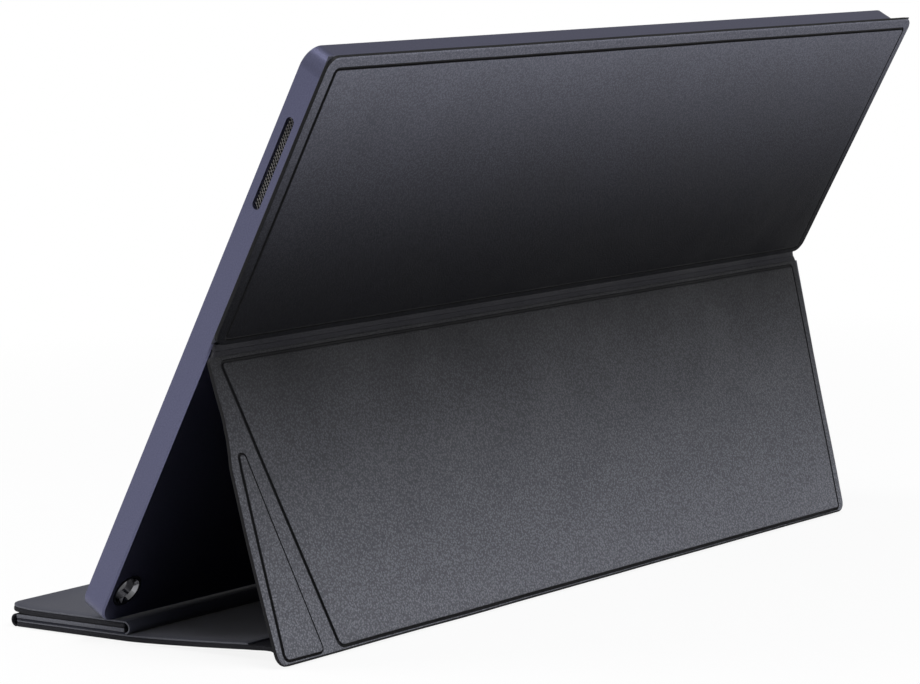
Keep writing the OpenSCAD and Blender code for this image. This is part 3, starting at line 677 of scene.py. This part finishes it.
# %% Upper fold
fold_near, fold_far = 183.2, 177.6
fold_thick, fold_rim = 1.3, 0.2
start_point = on_monitor @ Vector((0, 1.25 * mm, (cover_low + 0.6) * mm)) / mm
start_way = on_monitor.to_3x3() @ Vector((0, 0, -1))
end_point = on_leg @ Vector((0, 0.65 * mm, -1.8 * mm)) / mm
end_way = on_leg.to_3x3() @ Vector((0, 0, -1))


def curve_between(p, way_p, q, way_q, reach, n):
    """A smooth curve that leaves p one way and arrives at q another way."""
    points = []
    for i in range(n + 1):
        t = i / n
        a, b, c, d = p, p + way_p * reach, q - way_q * reach, q
        point = a * (1 - t) ** 3 + 3 * b * t * (1 - t) ** 2 + 3 * c * t * t * (1 - t) + d * t ** 3
        points.append((point.y, point.z))
    return points


fold_path = curve_between(start_point, start_way, end_point, end_way, 1.7, 12)
fold_upper = bent_sheet("fold_at_monitor", fold_path[:7], fold_near, fold_thick, fold_rim,
                        half_right=fold_far, taper=lambda row: 2.8 - 0.15 * row)
dress(fold_upper, shaded_leather, ["screen", "fold"], ["upper_fold"],
      amount=0.08, size=12)
fold_lower = bent_sheet("fold_at_leg", fold_path[6:], fold_near, fold_thick, fold_rim,
                        half_right=fold_far, taper=lambda row: 1.9 * (1 - row / 6) ** 1.5)
dress(fold_lower, shaded_leather, ["fold", "leg"], [],
      amount=0.08, size=12)

# %% [markdown]
# At the foot the leather turns forward under the leg and runs on as the spine of the mat.

# %% Foot and spine
spine_start = Vector((0, 79.5, 0.7))
foot_top = on_leg @ Vector((0, 0.65 * mm, (leg_low + 0.6) * mm)) / mm
foot_path = curve_between(foot_top, end_way, spine_start, Vector((0, -1, 0)), 2.6, 14)
foot_roll = bent_sheet("foot_at_leg", foot_path[:8], 173.6, fold_thick, fold_rim,
                       half_right=172.8)
dress(foot_roll, shaded_leather, ["leg", "foot"], ["foot_fold"],
      amount=0.06, size=14)
spine_roll = bent_sheet("foot_at_mat", foot_path[7:], 173.0, fold_thick, fold_rim,
                        half_right=172.4)
dress(spine_roll, shaded_leather, ["foot", "mat"], [],
      amount=0.06, size=14)

# %% [markdown]
# The mat is one long sheet folded in a flat zigzag: a layer on the desk, one that comes back, and
# a flap on top. Each layer has leather on one side and lining on the other, and the edges of the
# two show as separate lines at the open end.

# %% Layers of the mat
mat_half = 171.5
layer = 2.4
skin = 1.66
skin_rim = 0.45
cloth, cloth_rim = 0.66, 0.2
cloth_half = mat_half - 0.3
end_gap = 0.3
front_y, rear_y = -50.0, 4.5
bow_h, bow_start, bow_top = 3.4, 5, 70
bow_run = bow_top - bow_start
spine_y, bow_fall = 79.9, 6.5


def bowed(points):
    """Behind the roll the mat isn't held down: it rises, and comes down just before the spine."""
    lifted = []
    for y, z in points:
        rise = bow_h * max(0, min(y, bow_top) / bow_run - bow_start / bow_run) ** 1.3
        lifted.append((y, z + rise * min(1, max(0, (spine_y - y) / bow_fall))))
    return lifted


desk_path = bowed(line((front_y + end_gap, 0.85), (62, 0.85), 30)
                  + line((64, 0.8), (spine_y, 0.7), 11))
desk_leather = bent_sheet("desk_layer", desk_path, mat_half, skin, skin_rim)
for v in desk_leather.data.vertices:
    y = v.co.y / mm
    if v.co.z > 0.9 * mm and y > 76:
        v.co.z -= 0.4 * mm * min(1, (y - 76) / 4)
dress(desk_leather, shaded_leather, ["mat"], ["mat_leather", "spine_strip"], amount=0.0)
desk_board = bent_sheet(
    "desk_board", bowed(line((front_y + 4, 1.1), (57.5, 1.1), 26)), mat_half - 4, 0.9, 0.1)
dress(desk_board, fibreboard, ["mat"], ["mat_board"], amount=0.0)
desk_lining = bent_sheet(
    "desk_lining", bowed(line((front_y + end_gap, 2.05), (62.2, 2.05), 30)), cloth_half,
    cloth, cloth_rim)
dress(desk_lining, lining, ["mat"], ["mat_lining"], amount=0.03, cut=cut_edge)

middle_lining = bent_sheet(
    "middle_lining_cloth", line((front_y + end_gap, 2.76), (rear_y - end_gap, 2.76), 18),
    cloth_half, cloth, cloth_rim)
dress(middle_lining, shaded_lining, ["middle"], ["middle_lining"], amount=0.03, seed=4)
middle_leather = bent_sheet(
    "middle_layer", line((front_y + end_gap, 3.95), (rear_y - end_gap, 3.95), 18), mat_half,
    skin, skin_rim)
dress(middle_leather, shaded_leather, ["middle"], ["middle_leather"], amount=0.0,
      cut=cut_edge)


flap_lift, flap_reach = 0.9, 3.6
corner, row_gap = 5, 0.75


def flap_path(z):
    """The free end is lifted, and has close rows there, so that its corners can be round."""
    rows = line((front_y - flap_reach, z), (front_y + 2.4, z), 8)
    rows += line((front_y + 4, z), (rear_y - end_gap, z), 16)
    return [(y, z + flap_lift * max(0, (front_y + 10 - y) / 12) ** 2) for y, z in rows]


def round_corner(row):
    """Takes a quarter of a circle off the corners of the first rows."""
    left = max(0, corner - row_gap * row)
    return corner - math.sqrt(corner ** 2 - left ** 2) if row < 7 else 0


flap_leather = bent_sheet("flap_layer", flap_path(5.65), mat_half, skin, skin_rim,
                          taper=round_corner)
dress(flap_leather, shaded_leather, ["flap"], ["flap_leather"], amount=0.0)
flap_lining = bent_sheet("flap_lining_cloth", flap_path(6.85), cloth_half, cloth, cloth_rim,
                         taper=round_corner)
dress(flap_lining, lining, ["flap"], ["flap_lining"], amount=0.03, seed=9, cut=cut_edge)

# %% Folds of the mat
roll_radius = layer - 0.36
roll_thick, roll_rim = 0.7, 0.2
front_roll = bent_sheet("front_roll", arc((front_y, layer), roll_radius, 270, 90, 12), mat_half,
                        roll_thick, roll_rim)
dress(front_roll, shaded_leather, ["mat", "middle"], ["front_fold"],
      amount=0.03)
rear_roll = bent_sheet("rear_roll", arc((rear_y, 2 * layer), roll_radius, -90, 90, 12), mat_half,
                       roll_thick, roll_rim)
dress(rear_roll, shaded_lining, ["middle", "flap"], ["rear_fold"],
      amount=0.03, cut=cut_edge)

# %% [markdown]
# Behind each speaker slot sits a fine wire mesh. A grid turned by 45 degrees becomes open mesh
# with the wireframe modifier, and is set just behind the slot.

# %% Speaker meshes
mesh_x = 178.15
slot_depth, slot_rise = -5, 185.5
slot_long, slot_wide = 18.4, 2.3
wire_thick = 0.3


def speaker_mesh(name, side, node):
    select_nothing()
    bpy.ops.mesh.primitive_grid_add(x_subdivisions=27, y_subdivisions=3, size=2)
    mesh = bpy.context.object
    mesh.name = name
    mesh.data.name = name
    for v in mesh.data.vertices:
        along, across = v.co.x * slot_long, v.co.y * slot_wide
        v.co = Vector((side * mesh_x, slot_depth + across, slot_rise + along)) * mm
    edit(mesh)
    bpy.ops.mesh.select_all(action="SELECT")
    bpy.ops.mesh.poke()
    pick("EDGE", lambda e: abs(e.verts[0].co.z - e.verts[1].co.z) < 1e-7
         or abs(e.verts[0].co.y - e.verts[1].co.y) < 1e-7)
    bpy.ops.mesh.dissolve_edges(use_verts=False)
    leave()
    apply_modifier(mesh, "WIREFRAME", thickness=wire_thick * mm, use_even_offset=False)
    place(mesh, on_monitor)
    outward(mesh)
    mesh.data.materials.append(wire)
    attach(mesh, "screen")
    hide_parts(node)
    print(name, len(mesh.data.polygons), "faces")


speaker_mesh("mesh_left", 1, "speaker_mesh_left")
speaker_mesh("mesh_right", -1, "speaker_mesh_right")

# %% [markdown]
# The stage is a plain pale floor. A real studio sweep is bright enough to leave the picture
# white, so the floor shows the camera and the reflections a white of its own, mixed with its lit
# colour, so that a soft shadow stays under the object. For reflections this white is left out in
# a band near the object, which paints a shadow there that the leather mirrors.

# %% Floor and world
def mirrored_rays(tree, rays):
    """1 for the rays that mirrors and glass send on, and 0 for all others."""
    return math_node(tree, "MAXIMUM", rays.outputs["Is Glossy Ray"],
                     rays.outputs["Is Transmission Ray"])


select_nothing()
bpy.ops.mesh.primitive_plane_add(size=8, location=(0, 0, -0.0003))
floor = bpy.context.object
floor.name = "floor"
floor_paint = bpy.data.materials.new("floor_paint")
floor_paint.use_nodes = True
tree = floor_paint.node_tree
shader = tree.nodes["Principled BSDF"]
shader.inputs["Base Color"].default_value = (0.86, 0.86, 0.87, 1)
shader.inputs["Roughness"].default_value = 0.9
shader.inputs["Specular IOR Level"].default_value = 0.1
glow = add(tree, "Emission")
path = add(tree, "LightPath")
where = add(tree, "TexCoord")
reach = add(tree, "VectorMath", operation="LENGTH")
tree.links.new(where.outputs["Object"], reach.inputs[0])
glow_seen = math_node(tree, "MULTIPLY", path.outputs["Is Camera Ray"],
                      ramp(tree, reach.outputs["Value"], 0.35, 0.9, 0.88, 1.0))
mirrored = mirrored_rays(tree, path)
parts = add(tree, "SeparateXYZ")
tree.links.new(where.outputs["Object"], parts.inputs[0])
# Mirrors see no glow in a band near the object: a painted shadow in reflections.
away = math_node(tree, "ABSOLUTE", math_node(tree, "SUBTRACT", parts.outputs["Y"], 0.05))
mirrored_glow_shadow_band = math_node(tree, "MULTIPLY", mirrored, ramp(tree, away, 0.08, 0.18, 0.0, 0.95))
blend_floor = add(tree, "MixShader")
tree.links.new(math_node(tree, "MAXIMUM", glow_seen, mirrored_glow_shadow_band), blend_floor.inputs[0])
tree.links.new(shader.outputs[0], blend_floor.inputs[1])
tree.links.new(glow.outputs[0], blend_floor.inputs[2])
tree.links.new(blend_floor.outputs[0], tree.nodes["Material Output"].inputs["Surface"])
floor.data.materials.append(floor_paint)

world = bpy.data.worlds.new("studio")
bpy.context.scene.world = world
world.use_nodes = True
tree = world.node_tree
air = tree.nodes["Background"]
air.inputs["Color"].default_value = (1, 1, 1, 1)
path = add(tree, "LightPath")
seen = math_node(tree, "MAXIMUM", path.outputs["Is Camera Ray"], mirrored_rays(tree, path))
sky = add(tree, "SeparateXYZ")
tree.links.new(add(tree, "TexCoord").outputs["Generated"], sky.inputs[0])
unseen = math_node(tree, "SUBTRACT", seen, path.outputs["Is Camera Ray"])
mirror_only = math_node(tree, "MULTIPLY", unseen,
                        ramp(tree, sky.outputs["Z"], 0.05, 0.55, 0.35, 0.66))
strength = math_node(tree, "SUBTRACT", ramp(tree, seen, 0, 1, 0.3, 1.0), mirror_only)
tree.links.new(strength, air.inputs["Strength"])
bpy.context.scene.view_settings.view_transform = "Standard"


lamp_aim = Vector((0, 0.05, 0.1))


def lamp(name, where, size, watts):
    light = bpy.data.lights.new(name, "AREA")
    light.shape = "DISK"
    light.size = size
    light.energy = watts
    holder = bpy.data.objects.new(name, light)
    bpy.context.scene.collection.objects.link(holder)
    holder.location = where
    way = lamp_aim - Vector(where)
    holder.rotation_euler = way.to_track_quat("-Z", "Y").to_euler()


lamp("key", (0.25, 0.85, 1.7), 1.1, 26)
lamp("fill", (0.7, -1.0, 1.3), 0.9, 10)
print("stage and lamps set")
